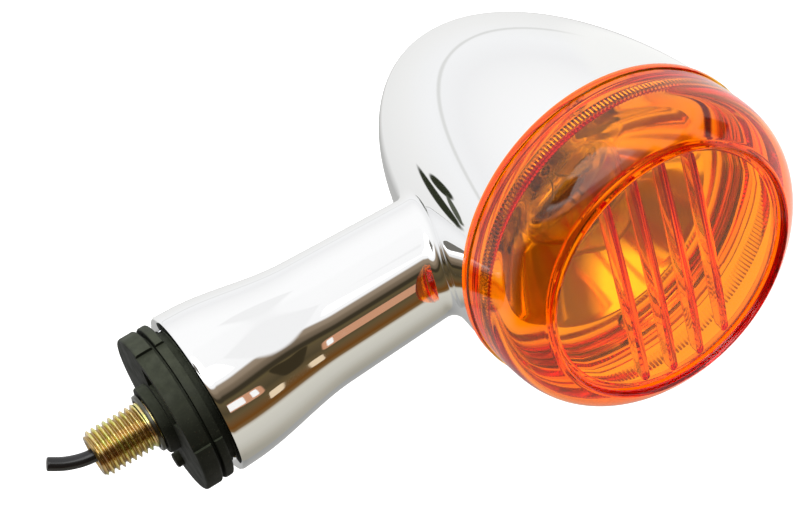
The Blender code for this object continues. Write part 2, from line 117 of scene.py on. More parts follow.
class Shading:
    """Short calls for building a tree of shader nodes."""

    def __init__(self, tree):
        self.tree = tree

    def add(self, kind, inputs=None, **settings):
        node = self.tree.nodes.new(kind)
        for key, value in settings.items():
            setattr(node, key, value)
        for key, value in (inputs or {}).items():
            self.feed(node.inputs[key], value)
        return node

    def feed(self, socket, value):
        if isinstance(value, bpy.types.NodeSocket):
            self.tree.links.new(value, socket)
        else:
            socket.default_value = value

    def math(self, operation, first, second=0.0, clamp=False):
        node = self.add("ShaderNodeMath", {0: first, 1: second}, operation=operation, use_clamp=clamp)
        return node.outputs[0]

    def vector(self, operation, first, second=(0.0, 0.0, 0.0)):
        node = self.add("ShaderNodeVectorMath", {0: first, 1: second}, operation=operation)
        return node.outputs["Value" if operation == "DOT_PRODUCT" else "Vector"]

    def smooth_step(self, value, low, high):
        inputs = {"Value": value, "From Min": low, "From Max": high}
        return self.add("ShaderNodeMapRange", inputs, interpolation_type="SMOOTHSTEP").outputs[0]

    def span(self, value, low, high, to_low, to_high):
        inputs = {"Value": value, "From Min": low, "From Max": high, "To Min": to_low, "To Max": to_high}
        return self.add("ShaderNodeMapRange", inputs).outputs[0]

    def mix(self, factor, first, second):
        inputs = {"Factor": factor}
        node = self.add("ShaderNodeMix", inputs, data_type="RGBA")
        self.feed(node.inputs[6], first if isinstance(first, bpy.types.NodeSocket) else (*first, 1.0))
        self.feed(node.inputs[7], second if isinstance(second, bpy.types.NodeSocket) else (*second, 1.0))
        return node.outputs[2]

    def ramp(self, value, stops):
        node = self.add("ShaderNodeValToRGB", {"Fac": value})
        spots = node.color_ramp.elements
        while len(spots) < len(stops):
            spots.new(0.5)
        for spot, (place, colour) in zip(spots, stops):
            spot.position = place
            spot.color = (*colour, 1.0)
        return node.outputs["Color"]

    def noise(self, where, scale, detail=3.0, roughness=0.5):
        inputs = {"Vector": where, "Scale": scale, "Detail": detail, "Roughness": roughness}
        return self.add("ShaderNodeTexNoise", inputs).outputs["Fac"]

    def place(self):
        return self.add("ShaderNodeTexCoord").outputs["Object"]

    def bump(self, height, distance, strength=1.0):
        inputs = {"Height": height, "Distance": distance * MM, "Strength": strength}
        return self.add("ShaderNodeBump", inputs).outputs["Normal"]


def new_material(name, **sockets):
    """A Principled material with constant values on its own sockets, and the tools for adding nodes to it."""
    made = bpy.data.materials.new(name)
    made.use_nodes = True
    shader = made.node_tree.nodes["Principled BSDF"]
    for key, value in sockets.items():
        socket = shader.inputs[key.replace("_", " ")]
        socket.default_value = (*value, 1.0) if isinstance(value, tuple) else value
    return made, shader, Shading(made.node_tree)


# ---------------------------------------------------------------- studio

# Elevation in degrees, then linear colour, for the part of the room in front of the object.
FRONT_ROOM = (
    (-90, (0.36, 0.34, 0.29)), (-76, (0.38, 0.36, 0.30)), (-66, (0.48, 0.45, 0.38)),
    (-60, (0.54, 0.52, 0.45)), (-50, (0.62, 0.60, 0.53)), (-33, (0.68, 0.66, 0.58)),
    (-30, (0.55, 0.50, 0.42)), (-27.5, (0.20, 0.12, 0.05)), (-22, (0.16, 0.06, 0.01)),
    (-15, (0.15, 0.08, 0.03)), (-9, (0.13, 0.09, 0.04)), (0, (0.08, 0.06, 0.03)),
    (10, (0.11, 0.08, 0.04)), (14, (0.12, 0.09, 0.04)), (17, (0.045, 0.035, 0.02)),
    (21, (0.045, 0.035, 0.02)), (24, (0.16, 0.12, 0.08)), (28, (0.20, 0.15, 0.10)),
    (31, (0.30, 0.23, 0.16)), (36, (0.33, 0.26, 0.19)), (38.5, (1.02, 1.02, 1.02)),
    (90, (1.07, 1.07, 1.07)),
)
REAR_ROOM = (
    (-90, (0.30, 0.30, 0.29)), (-33, (0.50, 0.50, 0.49)), (-27, (0.86, 0.86, 0.85)),
    (-5, (0.93, 0.93, 0.92)), (10, (0.98, 0.985, 0.99)), (21, (0.95, 0.95, 0.955)),
    (30, (1.00, 1.00, 1.00)), (40, (1.04, 1.04, 1.04)), (50, (1.07, 1.07, 1.07)),
    (90, (1.08, 1.08, 1.08)),
)
# The same room as the clear parts see it: the white table close to the lens and the hot middle of the light.
LENS_ROOM = (
    (-90, (1.20, 1.18, 1.12)), (-26, (1.36, 1.35, 1.30)), (-20, (0.42, 0.30, 0.20)),
    (10, (0.26, 0.18, 0.11)), (34, (0.36, 0.28, 0.20)), (40, (1.20, 1.20, 1.20)),
    (46, (3.00, 3.00, 3.00)), (90, (3.00, 3.00, 3.00)),
)
# Cards: colour, centre azimuth and half-width, lowest and highest elevation, softness, all in degrees.
# Azimuth 0 looks along -Y and 90 along +X.
CARDS = (
    ((2.80, 2.80, 2.80), -25, 52, 44, 84, 2.0),
    ((0.20, 0.19, 0.17), -60, 17, 48, 66, 1.5),
    ((0.97, 0.97, 0.97), 85, 48, 27, 60, 1.5),
    ((1.00, 1.00, 0.98), 100, 45, -60, 27, 3.0),
    ((0.15, 0.14, 0.12), 70, 8, 4, 20, 1.5),
)
# Windows and dark things: colour, centre azimuth and elevation, half-width, half-height, slant, squareness.
SPOTS = (
    ((0.62, 0.31, 0.18), 18.2, 2.6, 6.8, 6.2, -1.4, 6),
    ((1.03, 1.02, 1.00), 14.1, 3.6, 2.0, 4.8, -0.5, 6),
    ((1.03, 1.02, 1.00), 21.4, 2.2, 1.6, 4.2, -0.4, 6),
    ((0.04, 0.03, 0.015), 31.3, 5.0, 1.5, 10.0, 0.0, 4),
    ((0.86, 0.68, 0.46), 27.4, -13.5, 1.9, 4.5, 0.0, 6),
    ((0.03, 0.035, 0.02), -146.0, -6.9, 8.2, 2.1, 1.0, 2),
    ((0.03, 0.035, 0.02), -146.4, -1.4, 3.9, 1.9, 2.0, 2),
    ((0.10, 0.11, 0.08), -141.0, -2.6, 3.4, 1.5, -1.2, 2),
)
# The edge of the overhead light as the bullet mirrors it: a plane through the room, as normal and offset.
SEAM_NORMAL = (0.24, -0.46, 1.0)
SEAM_OFFSET = 0.2625


def around_direction(azimuth):
    turn = math.radians(azimuth)
    return (math.sin(turn), -math.cos(turn), 0.0)


def make_studio():
    """Soft white light from above, a brown room in front and a pale backdrop behind, all by direction."""
    world = bpy.data.worlds.new("studio")
    bpy.context.scene.world = world
    world.use_nodes = True
    world.node_tree.nodes.clear()
    use = Shading(world.node_tree)
    toward = use.add("ShaderNodeTexCoord").outputs["Generated"]
    height = use.add("ShaderNodeSeparateXYZ", {0: toward}).outputs["Z"]
    elevation = use.math("MULTIPLY", use.math("ARCSINE", height), math.degrees(1.0))
    level = use.span(elevation, -90.0, 90.0, 0.0, 1.0)
    flat = use.vector("NORMALIZE", use.vector("MULTIPLY", toward, (1.0, 1.0, 0.0)))

    def sector(azimuth, half_width, soft):
        cosine = use.vector("DOT_PRODUCT", flat, around_direction(azimuth))
        near = math.cos(math.radians(max(half_width - soft, 0.0)))
        far = math.cos(math.radians(half_width + soft))
        return use.smooth_step(cosine, far, near)

    front = use.ramp(level, [((angle + 90) / 180, colour) for angle, colour in FRONT_ROOM])
    rear = use.ramp(level, [((angle + 90) / 180, colour) for angle, colour in REAR_ROOM])
    behind = sector(-172, 78, 12)
    room = use.mix(behind, front, rear)
    seam = use.math("ADD", use.vector("DOT_PRODUCT", toward, SEAM_NORMAL), SEAM_OFFSET)
    line = use.smooth_step(use.math("ABSOLUTE", seam), 0.024, 0.004)
    room = use.mix(use.math("MULTIPLY", line, behind), room, (0.78, 0.785, 0.77))
    for colour, azimuth, half_width, low, high, soft in CARDS:
        rising = use.smooth_step(elevation, low - soft, low + soft)
        falling = use.smooth_step(elevation, high + soft, high - soft)
        cover = use.math("MULTIPLY", use.math("MULTIPLY", rising, falling), sector(azimuth, half_width, soft))
        room = use.mix(cover, room, colour)

    for colour, azimuth, middle, half_width, half_height, slant, power in SPOTS:
        sideways = use.vector("DOT_PRODUCT", flat, around_direction(azimuth + 90))
        across = use.math("DIVIDE", sideways, math.sin(math.radians(half_width)))
        rise = use.math("SUBTRACT", elevation, middle)
        up = use.math("DIVIDE", use.math("SUBTRACT", rise, use.math("MULTIPLY", across, slant)), half_height)
        wide, tall = (use.math("POWER", use.math("ABSOLUTE", part), power) for part in (across, up))
        cover = use.smooth_step(use.math("ADD", wide, tall), 1.3, 0.7)
        room = use.mix(use.math("MULTIPLY", cover, sector(azimuth, 40, 5)), room, colour)

    rays = use.add("ShaderNodeLightPath").outputs
    through = use.ramp(level, [((angle + 90) / 180, colour) for angle, colour in LENS_ROOM])
    room = use.mix(rays["Is Transmission Ray"], room, through)
    lit = use.add("ShaderNodeBackground", {"Color": room, "Strength": 1.0}).outputs[0]
    plain = use.add("ShaderNodeBackground", {"Color": (1.0, 1.0, 1.0, 1.0), "Strength": 1.0}).outputs[0]
    both = use.add("ShaderNodeMixShader", {0: rays["Is Camera Ray"], 1: lit, 2: plain}).outputs[0]
    use.add("ShaderNodeOutputWorld", {"Surface": both})


def make_floor():
    """A wide pale floor well below the object. It isn't seen in the chrome or through the lens."""
    side = 3.0
    mesh = bpy.data.meshes.new("floor")
    corners = [(x * side, y * side, FLOOR_HEIGHT) for x, y in ((-1, -1), (1, -1), (1, 1), (-1, 1))]
    mesh.from_pydata(corners, [], [(0, 1, 2, 3)])
    floor = bpy.data.objects.new("floor", mesh)
    bpy.context.scene.collection.objects.link(floor)
    paint, shader, _ = new_material("pale_floor", Base_Color=(0.9, 0.9, 0.9), Roughness=0.9)
    shader.inputs["Emission Color"].default_value = (1.0, 1.0, 1.0, 1.0)
    shader.inputs["Emission Strength"].default_value = 0.5
    mesh.materials.append(paint)
    floor.visible_glossy = False
    floor.visible_transmission = False
    floor.visible_diffuse = False


def make_camera():
    camera = bpy.data.objects.new("camera", bpy.data.cameras.new("camera"))
    camera.data.lens = 94.5
    camera.data.sensor_width = 36.0
    camera.data.clip_start = 0.01
    place = Vector((-48.586, -304.419, 278.190))
    target = Vector((58.97, 4.72, -0.68))
    camera.location = place * MM
    roll = Quaternion((0, 0, 1), math.radians(-18.25))
    camera.rotation_mode = "QUATERNION"
    camera.rotation_quaternion = (target - place).to_track_quat("-Z", "Y") @ roll
    bpy.context.scene.collection.objects.link(camera)
    bpy.context.scene.camera = camera


# ---------------------------------------------------------------- mesh tools


def on_stem(across, up, height):
    return (height, across, up)


def on_lamp(across, up, height):
    return (STEM_LENGTH + across, -height, up)


def on_screw(side):
    """The axes of the reflector's upper (1) or lower (-1) screw."""
    def place(across, up, height):
        return on_lamp(across, up + side * SCREW_CIRCLE, height)
    return place


class Skin:
    """Collects points, in millimetres, and faces, and turns them into an object that rides on a body."""

    def __init__(self):
        self.points = []
        self.faces = []

    def ring(self, points):
        start = len(self.points)
        self.points.extend(tuple(float(value) for value in point) for point in points)
        return list(range(start, len(self.points)))

    def bridge(self, low, high, closed=True):
        """Joins two rings of the same length, or a ring to a single point."""
        count = max(len(low), len(high))
        for i in range(count if closed else count - 1):
            j = (i + 1) % count
            corners = [low[i % len(low)], low[j % len(low)], high[j % len(high)], high[i % len(high)]]
            face = list(dict.fromkeys(corners))
            if len(face) > 2:
                self.faces.append(face)

    def make(self, name, smooth=35):
        mesh = bpy.data.meshes.new(name)
        mesh.from_pydata([Vector(point) * MM for point in self.points], [], self.faces)
        made = bpy.data.objects.new(name, mesh)
        bpy.context.scene.collection.objects.link(made)
        face_outward(made, smooth)
        return made


def face_outward(piece, smooth=35):
    work = bmesh.new()
    work.from_mesh(piece.data)
    bmesh.ops.recalc_face_normals(work, faces=work.faces)
    if work.calc_volume(signed=True) < 0:
        bmesh.ops.reverse_faces(work, faces=work.faces)
    work.to_mesh(piece.data)
    work.free()
    piece.data.shade_smooth()
    piece.data.set_sharp_from_angle(angle=math.radians(smooth))


def arc(centre, radius, start, end, count):
    """Points on an arc, with angles in degrees and both ends included."""
    points = []
    for step in range(count + 1):
        angle = math.radians(start + (end - start) * step / count)
        points.append((centre[0] + radius * math.cos(angle), centre[1] + radius * math.sin(angle)))
    return points


def turned(name, outline, place, steps=96, teeth=None, smooth=35):
    """Spins a closed outline of (radius, height) points. teeth gives each row its depth of fine toothing."""
    skin = Skin()
    rows = []
    for number, (radius, height) in enumerate(outline):
        if radius < 1e-6:
            rows.append(skin.ring([place(0, 0, height)]))
            continue
        depth = teeth[number] if teeth else 0.0
        ring = []
        for step in range(steps):
            turn = TAU * step / steps
            reach = radius + depth * (step % 2)
            ring.append(place(reach * math.cos(turn), reach * math.sin(turn), height))
        rows.append(skin.ring(ring))
    for low, high in zip(rows, rows[1:] + rows[:1]):
        if len(low) > 1 or len(high) > 1:
            skin.bridge(low, high)
    return skin.make(name, smooth)


def lofted(name, rings, smooth=35):
    """Joins rings of points into one closed skin with flat ends."""
    skin = Skin()
    rows = [skin.ring(ring) for ring in rings]
    skin.faces.append(rows[0])
    skin.faces.append(rows[-1])
    for low, high in zip(rows, rows[1:]):
        skin.bridge(low, high)
    return skin.make(name, smooth)


def combine(target, tool, operation, solver="EXACT", smooth=35):
    """Applies a Boolean to target and removes the tool."""
    step = target.modifiers.new(operation.lower(), "BOOLEAN")
    step.operation = operation
    step.solver = solver
    step.object = tool
    graph = bpy.context.evaluated_depsgraph_get()
    result = bpy.data.meshes.new_from_object(target.evaluated_get(graph))
    target.modifiers.clear()
    target.data = result
    bpy.data.objects.remove(tool)
    face_outward(target, smooth)


def ring_sector(name, radii, heights, angles, place, steps=48):
    """A piece of a thick ring: radii, heights and angles (in degrees) are (from, to)."""
    near, far = radii
    low, high = heights
    sections = []
    for step in range(steps + 1):
        turn = math.radians(angles[0] + (angles[1] - angles[0]) * step / steps)
        corners = ((near, low), (far, low), (far, high), (near, high))
        sections.append([place(r * math.cos(turn), r * math.sin(turn), h) for r, h in corners])
    return lofted(name, sections)


def finish_piece(piece, body, material, slot, *nodes):
    """Gives a piece its material and its body, and hides the CAD nodes that it stands for."""
    piece.data.materials.clear()
    piece.data.materials.append(material)
    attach(piece, body)
    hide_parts(*nodes)
    return piece


# ---------------------------------------------------------------- housing


def stem_radius(x):
    """Outer radius of the stem: a slight taper with a smooth flare towards its foot."""
    t = np.clip((np.asarray(x, float) - FLARE_FROM) / (FLARE_TO - FLARE_FROM), 0.0, 1.0)
    return NECK_RADIUS + STEM_TAPER * (70.0 - x) + FLARE * (1 - t * t * (3 - 2 * t))


def shell_radius(forward, radius=SHELL_RADIUS, front=SHELL_FRONT, depth=SHELL_DEPTH):
    """Radius of the bullet at a forward coordinate, as a superellipse."""
    t = np.clip((front - np.asarray(forward, float)) / depth, 0.0, 1.0)
    return radius * np.sqrt(np.maximum(1 - t**SHELL_POWER, 0.0))


def inner_radius(forward):
    return shell_radius(forward, LEDGE_RADIUS, LEDGE, LEDGE_DEPTH)


def on_shell(radius, forward, turn):
    """A point of the bullet: turn is 0 at the stem and rises towards +Z."""
    x = STEM_LENGTH - radius * np.cos(turn)
    return np.stack([x, -forward + 0 * turn, radius * np.sin(turn)], axis=-1)


def nearest_on_shell(points):
    """For each point, the forward coordinate of the nearest point of the bullet and the signed distance."""
    reach = np.hypot(points[:, 0] - STEM_LENGTH, points[:, 2])
    forward = -points[:, 1]
    low = np.full(len(points), -30.0)
    high = np.full(len(points), 19.9)
    every = np.arange(len(points))
    for _ in range(6):
        tries = low[:, None] + (high - low)[:, None] * np.linspace(0, 1, 41)
        gap = np.hypot(shell_radius(tries) - reach[:, None], tries - forward[:, None])
        best = gap.argmin(axis=1)
        middle = tries[every, best]
        step = (high - low) / 40
        low = middle - step
        high = middle + step
    inside = reach < shell_radius(forward)
    return middle, np.where(inside, -1, 1) * gap[every, best]


def unit(vectors):
    return vectors / np.linalg.norm(vectors, axis=-1, keepdims=True)


GRID = 28
COLUMN = math.radians(2.5)
COLUMNS = 144
SPREAD = GRID // 2


def window_loop(half):
    """(forward, turn) and (row, column) round the stem's opening, in order of the angle about the stem."""
    low, high = 0, GRID
    corners = [(low, column) for column in range(low, high)]
    corners += [(row, high) for row in range(low, high)]
    corners += [(high, column) for column in range(high, low, -1)]
    corners += [(row, low) for row in range(high, low, -1)]
    places = [(half - 2 * half * row / GRID, (column - SPREAD) * COLUMN) for row, column in corners]
    return np.array(places), corners


def stem_angle(forward, radius, turn):
    """Angle about the stem's axis of a point of the bullet, from +Y towards +Z."""
    return np.unwrap(np.arctan2(radius * np.sin(turn), -forward))


def even_turns(angles):
    """Evenly spaced turns about zero, as many as the angles and running the same way."""
    count = len(angles)
    way = math.copysign(TAU / count, angles[-1] - angles[0])
    return (np.arange(count) - (count - 1) / 2) * way


def fillet_rings(angles, count):
    """Rings of the rolling-ball fillet between the stem and the bullet, and where it meets the bullet."""
    across = np.stack([0 * angles, np.cos(angles), np.sin(angles)], axis=-1)
    normal = unit(across + np.array([STEM_TAPER, 0, 0]))
    low = np.full(len(angles), 45.0)
    high = np.full(len(angles), 75.0)
    for _ in range(34):
        x = (low + high) / 2
        foot = across * stem_radius(x)[:, None]
        foot[:, 0] += x
        centre = foot + normal * FILLET
        gap = nearest_on_shell(centre)[1]
        low = np.where(gap > FILLET, x, low)
        high = np.where(gap > FILLET, high, x)
    forward = nearest_on_shell(centre)[0]
    turn = np.arctan2(centre[:, 2], STEM_LENGTH - centre[:, 0])
    contact = on_shell(shell_radius(forward), forward, turn)
    start = -normal
    end = unit(contact - centre)
    angle = np.arccos(np.clip((start * end).sum(axis=1), -1, 1))[:, None]
    rings = []
    for step in range(count + 1):
        t = step / count
        way = (start * np.sin((1 - t) * angle) + end * np.sin(t * angle)) / np.sin(angle)
        rings.append(centre + unit(way) * FILLET)
    return rings, forward, turn, foot[:, 0]


def shell_grid(skin, rows, radius_of, first_window):
    """Rings of the bullet from front to tip, leaving a square opening for the stem."""
    turns = (np.arange(COLUMNS) - SPREAD) * COLUMN
    rings = [skin.ring(on_shell(radius_of(forward), forward, turns)) for forward in rows]
    for number, (low, high) in enumerate(zip(rings, rings[1:])):
        in_window = first_window <= number < first_window + GRID
        for i in range(GRID if in_window else 0, COLUMNS):
            j = (i + 1) % COLUMNS
            skin.faces.append((low[i], low[j], high[j], high[i]))
    return rings


def make_housing(chrome):
    """One closed shell: the bullet, the stem with its fillet, and both hollows."""
    skin = Skin()
    half = 18.4
    tail_from = math.asin((SHELL_FRONT + half) / SHELL_DEPTH)
    tail = [tail_from + (math.pi / 2 - tail_from) * step / 24 for step in range(1, 24)]
    rows = [20.0, 19.2] + [half - 2 * half * step / GRID for step in range(GRID + 1)]
    rows += [SHELL_FRONT - SHELL_DEPTH * math.sin(angle) for angle in tail]
    outer = shell_grid(skin, rows, shell_radius, 2)
    tip = skin.ring([(STEM_LENGTH, SHELL_DEPTH - SHELL_FRONT, 0)])
    skin.bridge(outer[-1], tip)

    places, corners = window_loop(half)
    rim = [outer[2 + row][column] for row, column in corners]
    edge_angles = stem_angle(places[:, 0], shell_radius(places[:, 0]), places[:, 1])
    fillet, forward, turn, start = fillet_rings(edge_angles, 8)
    stem_rows = []
    even = edge_angles.mean() + even_turns(edge_angles)
    for step in range(46):
        share = step / 46
        x = 8.5 + (start - 8.5) * share
        angles = even + (edge_angles - even) * share
        radius = stem_radius(x)
        stem_rows.append(np.stack([x, radius * np.cos(angles), radius * np.sin(angles)], axis=-1))
    rings = [skin.ring(points) for points in stem_rows + fillet]
    for step in range(1, 6):
        share = step / 6
        along = forward + (places[:, 0] - forward) * share
        around = turn + (places[:, 1] - turn) * share
        rings.append(skin.ring(on_shell(shell_radius(along), along, around)))
    rings.append(rim)
    for low, high in zip(rings, rings[1:]):
        skin.bridge(low, high)

    # The mouth, then the inside of the bullet.
    turns = (np.arange(COLUMNS) - SPREAD) * COLUMN
    mouth = [(SHELL_SEAT[0] + 0.25, SHELL_FRONT), (SHELL_SEAT[0], SHELL_FRONT - 0.25), SHELL_SEAT]
    mouth += [(SHELL_RIM, SHELL_SEAT[1]), (SHELL_RIM, LEDGE)]
    last = outer[0]
    for radius, forward_at in mouth:
        ring = skin.ring(on_shell(radius, forward_at, turns))
        skin.bridge(last, ring)
        last = ring
    inner_half = 14.6
    tail_from = math.asin((LEDGE + inner_half) / LEDGE_DEPTH)
    tail = [tail_from + (math.pi / 2 - tail_from) * step / 20 for step in range(1, 20)]
    rows = [LEDGE] + [inner_half - 2 * inner_half * step / GRID for step in range(GRID + 1)]
    rows += [LEDGE - LEDGE_DEPTH * math.sin(angle) for angle in tail]
    inner = shell_grid(skin, rows, inner_radius, 1)
    skin.bridge(last, inner[0])
    tip = skin.ring([(STEM_LENGTH, LEDGE_DEPTH - LEDGE, 0)])
    skin.bridge(inner[-1], tip)

    # The socket and the bore, from the foot to where the bore opens into the bullet.
    def level(x, radius, angles):
        return np.stack([x + 0 * angles, radius * np.cos(angles), radius * np.sin(angles)], axis=-1)

    stages = [(8.0, stem_radius(8.0) - 0.25), (CHROME_START, stem_radius(CHROME_START) - 0.7)]
    stages += [(CHROME_START, SOCKET_BORE + 0.4), (CHROME_START + 0.4, SOCKET_BORE)]
    stages += [(STEM_FLOOR[0], SOCKET_BORE), (STEM_FLOOR[0], STUD_HOLE), (STEM_FLOOR[1], STUD_HOLE)]
    last = rings[0]
    for x, radius in stages:
        ring = skin.ring(level(x, radius, even))
        skin.bridge(last, ring)
        last = ring
    places, corners = window_loop(inner_half)
    edge_angles = stem_angle(places[:, 0], inner_radius(places[:, 0]), places[:, 1])
    end = np.full(len(corners), 65.0)
    for _ in range(12):
        bore = stem_radius(end) - STEM_WALL
        side = bore * np.sin(edge_angles)
        ahead = -bore * np.cos(edge_angles)
        end = STEM_LENGTH - np.sqrt(inner_radius(ahead) ** 2 - side**2)
    for step in range(25):
        share = step / 24
        x = STEM_FLOOR[1] + (end - STEM_FLOOR[1]) * share
        angles = even + (edge_angles - even) * share
        ring = skin.ring(level(x, stem_radius(x) - STEM_WALL, angles))
        skin.bridge(last, ring)
        last = ring
    turn = np.arcsin(side / inner_radius(ahead))
    for step in range(1, 5):
        share = step / 5
        along = ahead + (places[:, 0] - ahead) * share
        around = turn + (places[:, 1] - turn) * share
        ring = skin.ring(on_shell(inner_radius(along), along, around))
        skin.bridge(last, ring)
        last = ring
    skin.bridge(last, [inner[1 + row][column] for row, column in corners])
    housing = skin.make("housing_shell", 40)
    add_bosses(housing)
    return finish_piece(housing, "housing", chrome, "chrome", "lamp_housing")


def add_bosses(housing):
    """The two drilled posts that take the reflector's screws."""
    for side in (1, -1):
        place = on_screw(side)
        post = turned("post", [(0, 6), (2.8, 6), (2.8, LEDGE), (0, LEDGE)], place, 32)
        combine(housing, post, "UNION", "MANIFOLD", 40)
        hole = turned("hole", [(0, 8), (1.55, 8), (1.55, LEDGE + 2), (0, LEDGE + 2)], place, 32)
        combine(housing, hole, "DIFFERENCE", "MANIFOLD", 40)


# ---------------------------------------------------------------- lens


def shoulder(forward, edge, start, crest):
    """Radius of the lens skirt at a forward coordinate: straight at first, then rounding in to the crest."""
    t = max((forward - start) / (crest[1] - start), 0.0)
    return edge - (edge - crest[0]) * t**3.2


def shoulder_rows(edge, start, crest, count):
    """The shoulder from its crest back to where it straightens, with rows evenly spread round the bend."""
    rows = []
    for step in range(count + 1):
        forward = crest[1] - (crest[1] - start) * (step / count) ** 1.5
        rows.append((shoulder(forward, edge, start, crest), forward))
    return rows


def make_lens(amber):
    """The moulded lens: rim, straight skirt, rounded shoulder, raised bead, domed disc and its four ribs."""
    outer = [(34.6, 20.3), (35.1, 20.3), (35.25, 20.4), (35.3, 20.6), (35.3, 21.7), (35.2, 22.0)]
    outer += [(34.75, 22.15), (34.75, 22.35), (34.9, 22.5), (34.9, 24.0)]
    front = shoulder_rows(LENS_SKIRT, 26.0, LENS_CREST, 48)
    outer += reversed(front)
    outer += [(27.62, 41.52), (27.38, 41.5), (27.18, 41.3), (27.02, 40.8), (26.94, 40.3), (26.8, 40.12)]
    outer += [(26.5, 40.1)]
    disc = [(radius, 41.5 - 1.4 * (radius / 27.0) ** 2) for radius in (24, 20, 16, 12, 8, 4, 0)]
    outer += disc
    inner = [(radius, 39.3 - 0.6 * (radius / 18.0) ** 2) for radius in (0, 4, 8, 12, 16, 18)]
    inner += [(21.0, 38.5), (24.0, 38.35), (25.7, 38.25), (25.9, 38.05), (25.95, 36.9), (26.1, 36.7)]
    inner += [(26.45, 36.7), (26.6, 36.9), (26.75, 37.5), (26.9, 37.6)]
    inner += [row for row in shoulder_rows(INNER_SKIRT, 28.6, INNER_CREST, 48) if row[0] > 27.0]
    plain = len(outer) + len(inner)
    skirt = [(32.6, 28.3), (32.6, 27.9), (32.6, 25.2), (32.6, 24.8), (32.55, 22.8), (32.4, 22.3)]
    skirt += [(31.5, 21.6), (31.3, 21.4), (31.3, 17.3)]
    skirt += [(31.45, 17.2), (32.2, 17.2), (32.3, 17.35), (32.3, 20.3)]
    teeth = [0.0] * (plain + len(skirt))
    for number in (plain + 1, plain + 2):
        teeth[number] = -0.42
    lens = turned("lens_shell", outer + inner + skirt, on_lamp, 480, teeth, 32)
    for number in range(RIB_COUNT):
        across = (number - (RIB_COUNT - 1) / 2) * RIB_PITCH
        combine(lens, lens_rib(across), "UNION", "MANIFOLD", 32)
    return finish_piece(lens, "lens", amber, "amber_lens", "lens")


def lens_rib(across):
    """A rib on the lens's inner face: it tapers away from the face and has rounded tips."""
    half = math.sqrt(26.6**2 - (abs(across) + 0.9) ** 2) - 0.6
    sections = []
    for height, width in ((35.55, 1.1), (35.7, 1.4), (36.1, 1.5), (39.6, 1.8)):
        radius = width / 2
        loop = []
        for sign, start in ((1, 0), (-1, 180)):
            for side, up in arc((0, 0), radius, start, start + 180, 8):
                loop.append(on_lamp(across + side, up + sign * (half - 0.9 - (1.8 - width)), height))
        sections.append(loop)
    return lofted("rib", sections)


def make_gasket(silicone):
    outline = [(33.15, 19.1), (33.45, 19.1), (33.6, 19.25), (33.6, 19.85), (33.45, 20.0), (33.15, 20.0)]
    outline += [(33.0, 19.85), (33.0, 19.25)]
    gasket = turned("gasket_ring", outline, on_lamp, 96)
    finish_piece(gasket, "housing", silicone, "rubber", "lens_gasket")


# ---------------------------------------------------------------- reflector and bulb


def make_reflector(mirror):
    """A smooth parabolic bowl, a neck round the bulb, a floor and a flange."""
    reach = REFLECTOR_EDGE[1] - FOCUS
    focal = (-reach + math.hypot(reach, REFLECTOR_EDGE[0])) / 2
    vertex = FOCUS - focal

    def bowl(radius):
        return vertex + radius**2 / (4 * focal)

    span = REFLECTOR_EDGE[0] - REFLECTOR_NECK
    radii = [REFLECTOR_NECK + span * step / 24 for step in range(25)]
    rim = LEDGE + 0.3
    front = [(radius, bowl(radius)) for radius in reversed(radii)]
    outline = [(32.4, rim), (32.4, rim + 0.8), (32.2, rim + 1.0), (REFLECTOR_EDGE[0] + 1.1, rim + 1.0)]
    outline += [(REFLECTOR_EDGE[0] + 0.5, rim + 0.8), *front]
    top = REFLECTOR_FLOOR + 0.9
    back = [(13.2, top + 0.3), (12.9, top), (9.4, top), (9.2, top - 0.2), (9.2, REFLECTOR_FLOOR)]
    back += [(13.6, REFLECTOR_FLOOR), (13.9, REFLECTOR_FLOOR + 0.3), (14.9, bowl(REFLECTOR_NECK) - 3.0)]
    back += [(radius + 0.675, bowl(radius) - 0.675) for radius in radii[:-1:4]]
    back.append((REFLECTOR_EDGE[0] + 1.1, rim))
    outline += back
    reflector = turned("reflector_bowl", outline, on_lamp, 144, smooth=30)
    for side in (1, -1):
        place = on_screw(side)
        hole = turned("hole", [(0, 14), (1.6, 14), (1.6, 19), (0, 19)], place, 32)
        combine(reflector, hole, "DIFFERENCE", "MANIFOLD", 30)
    finish_piece(reflector, "housing", mirror, "reflector_silver", "reflector")


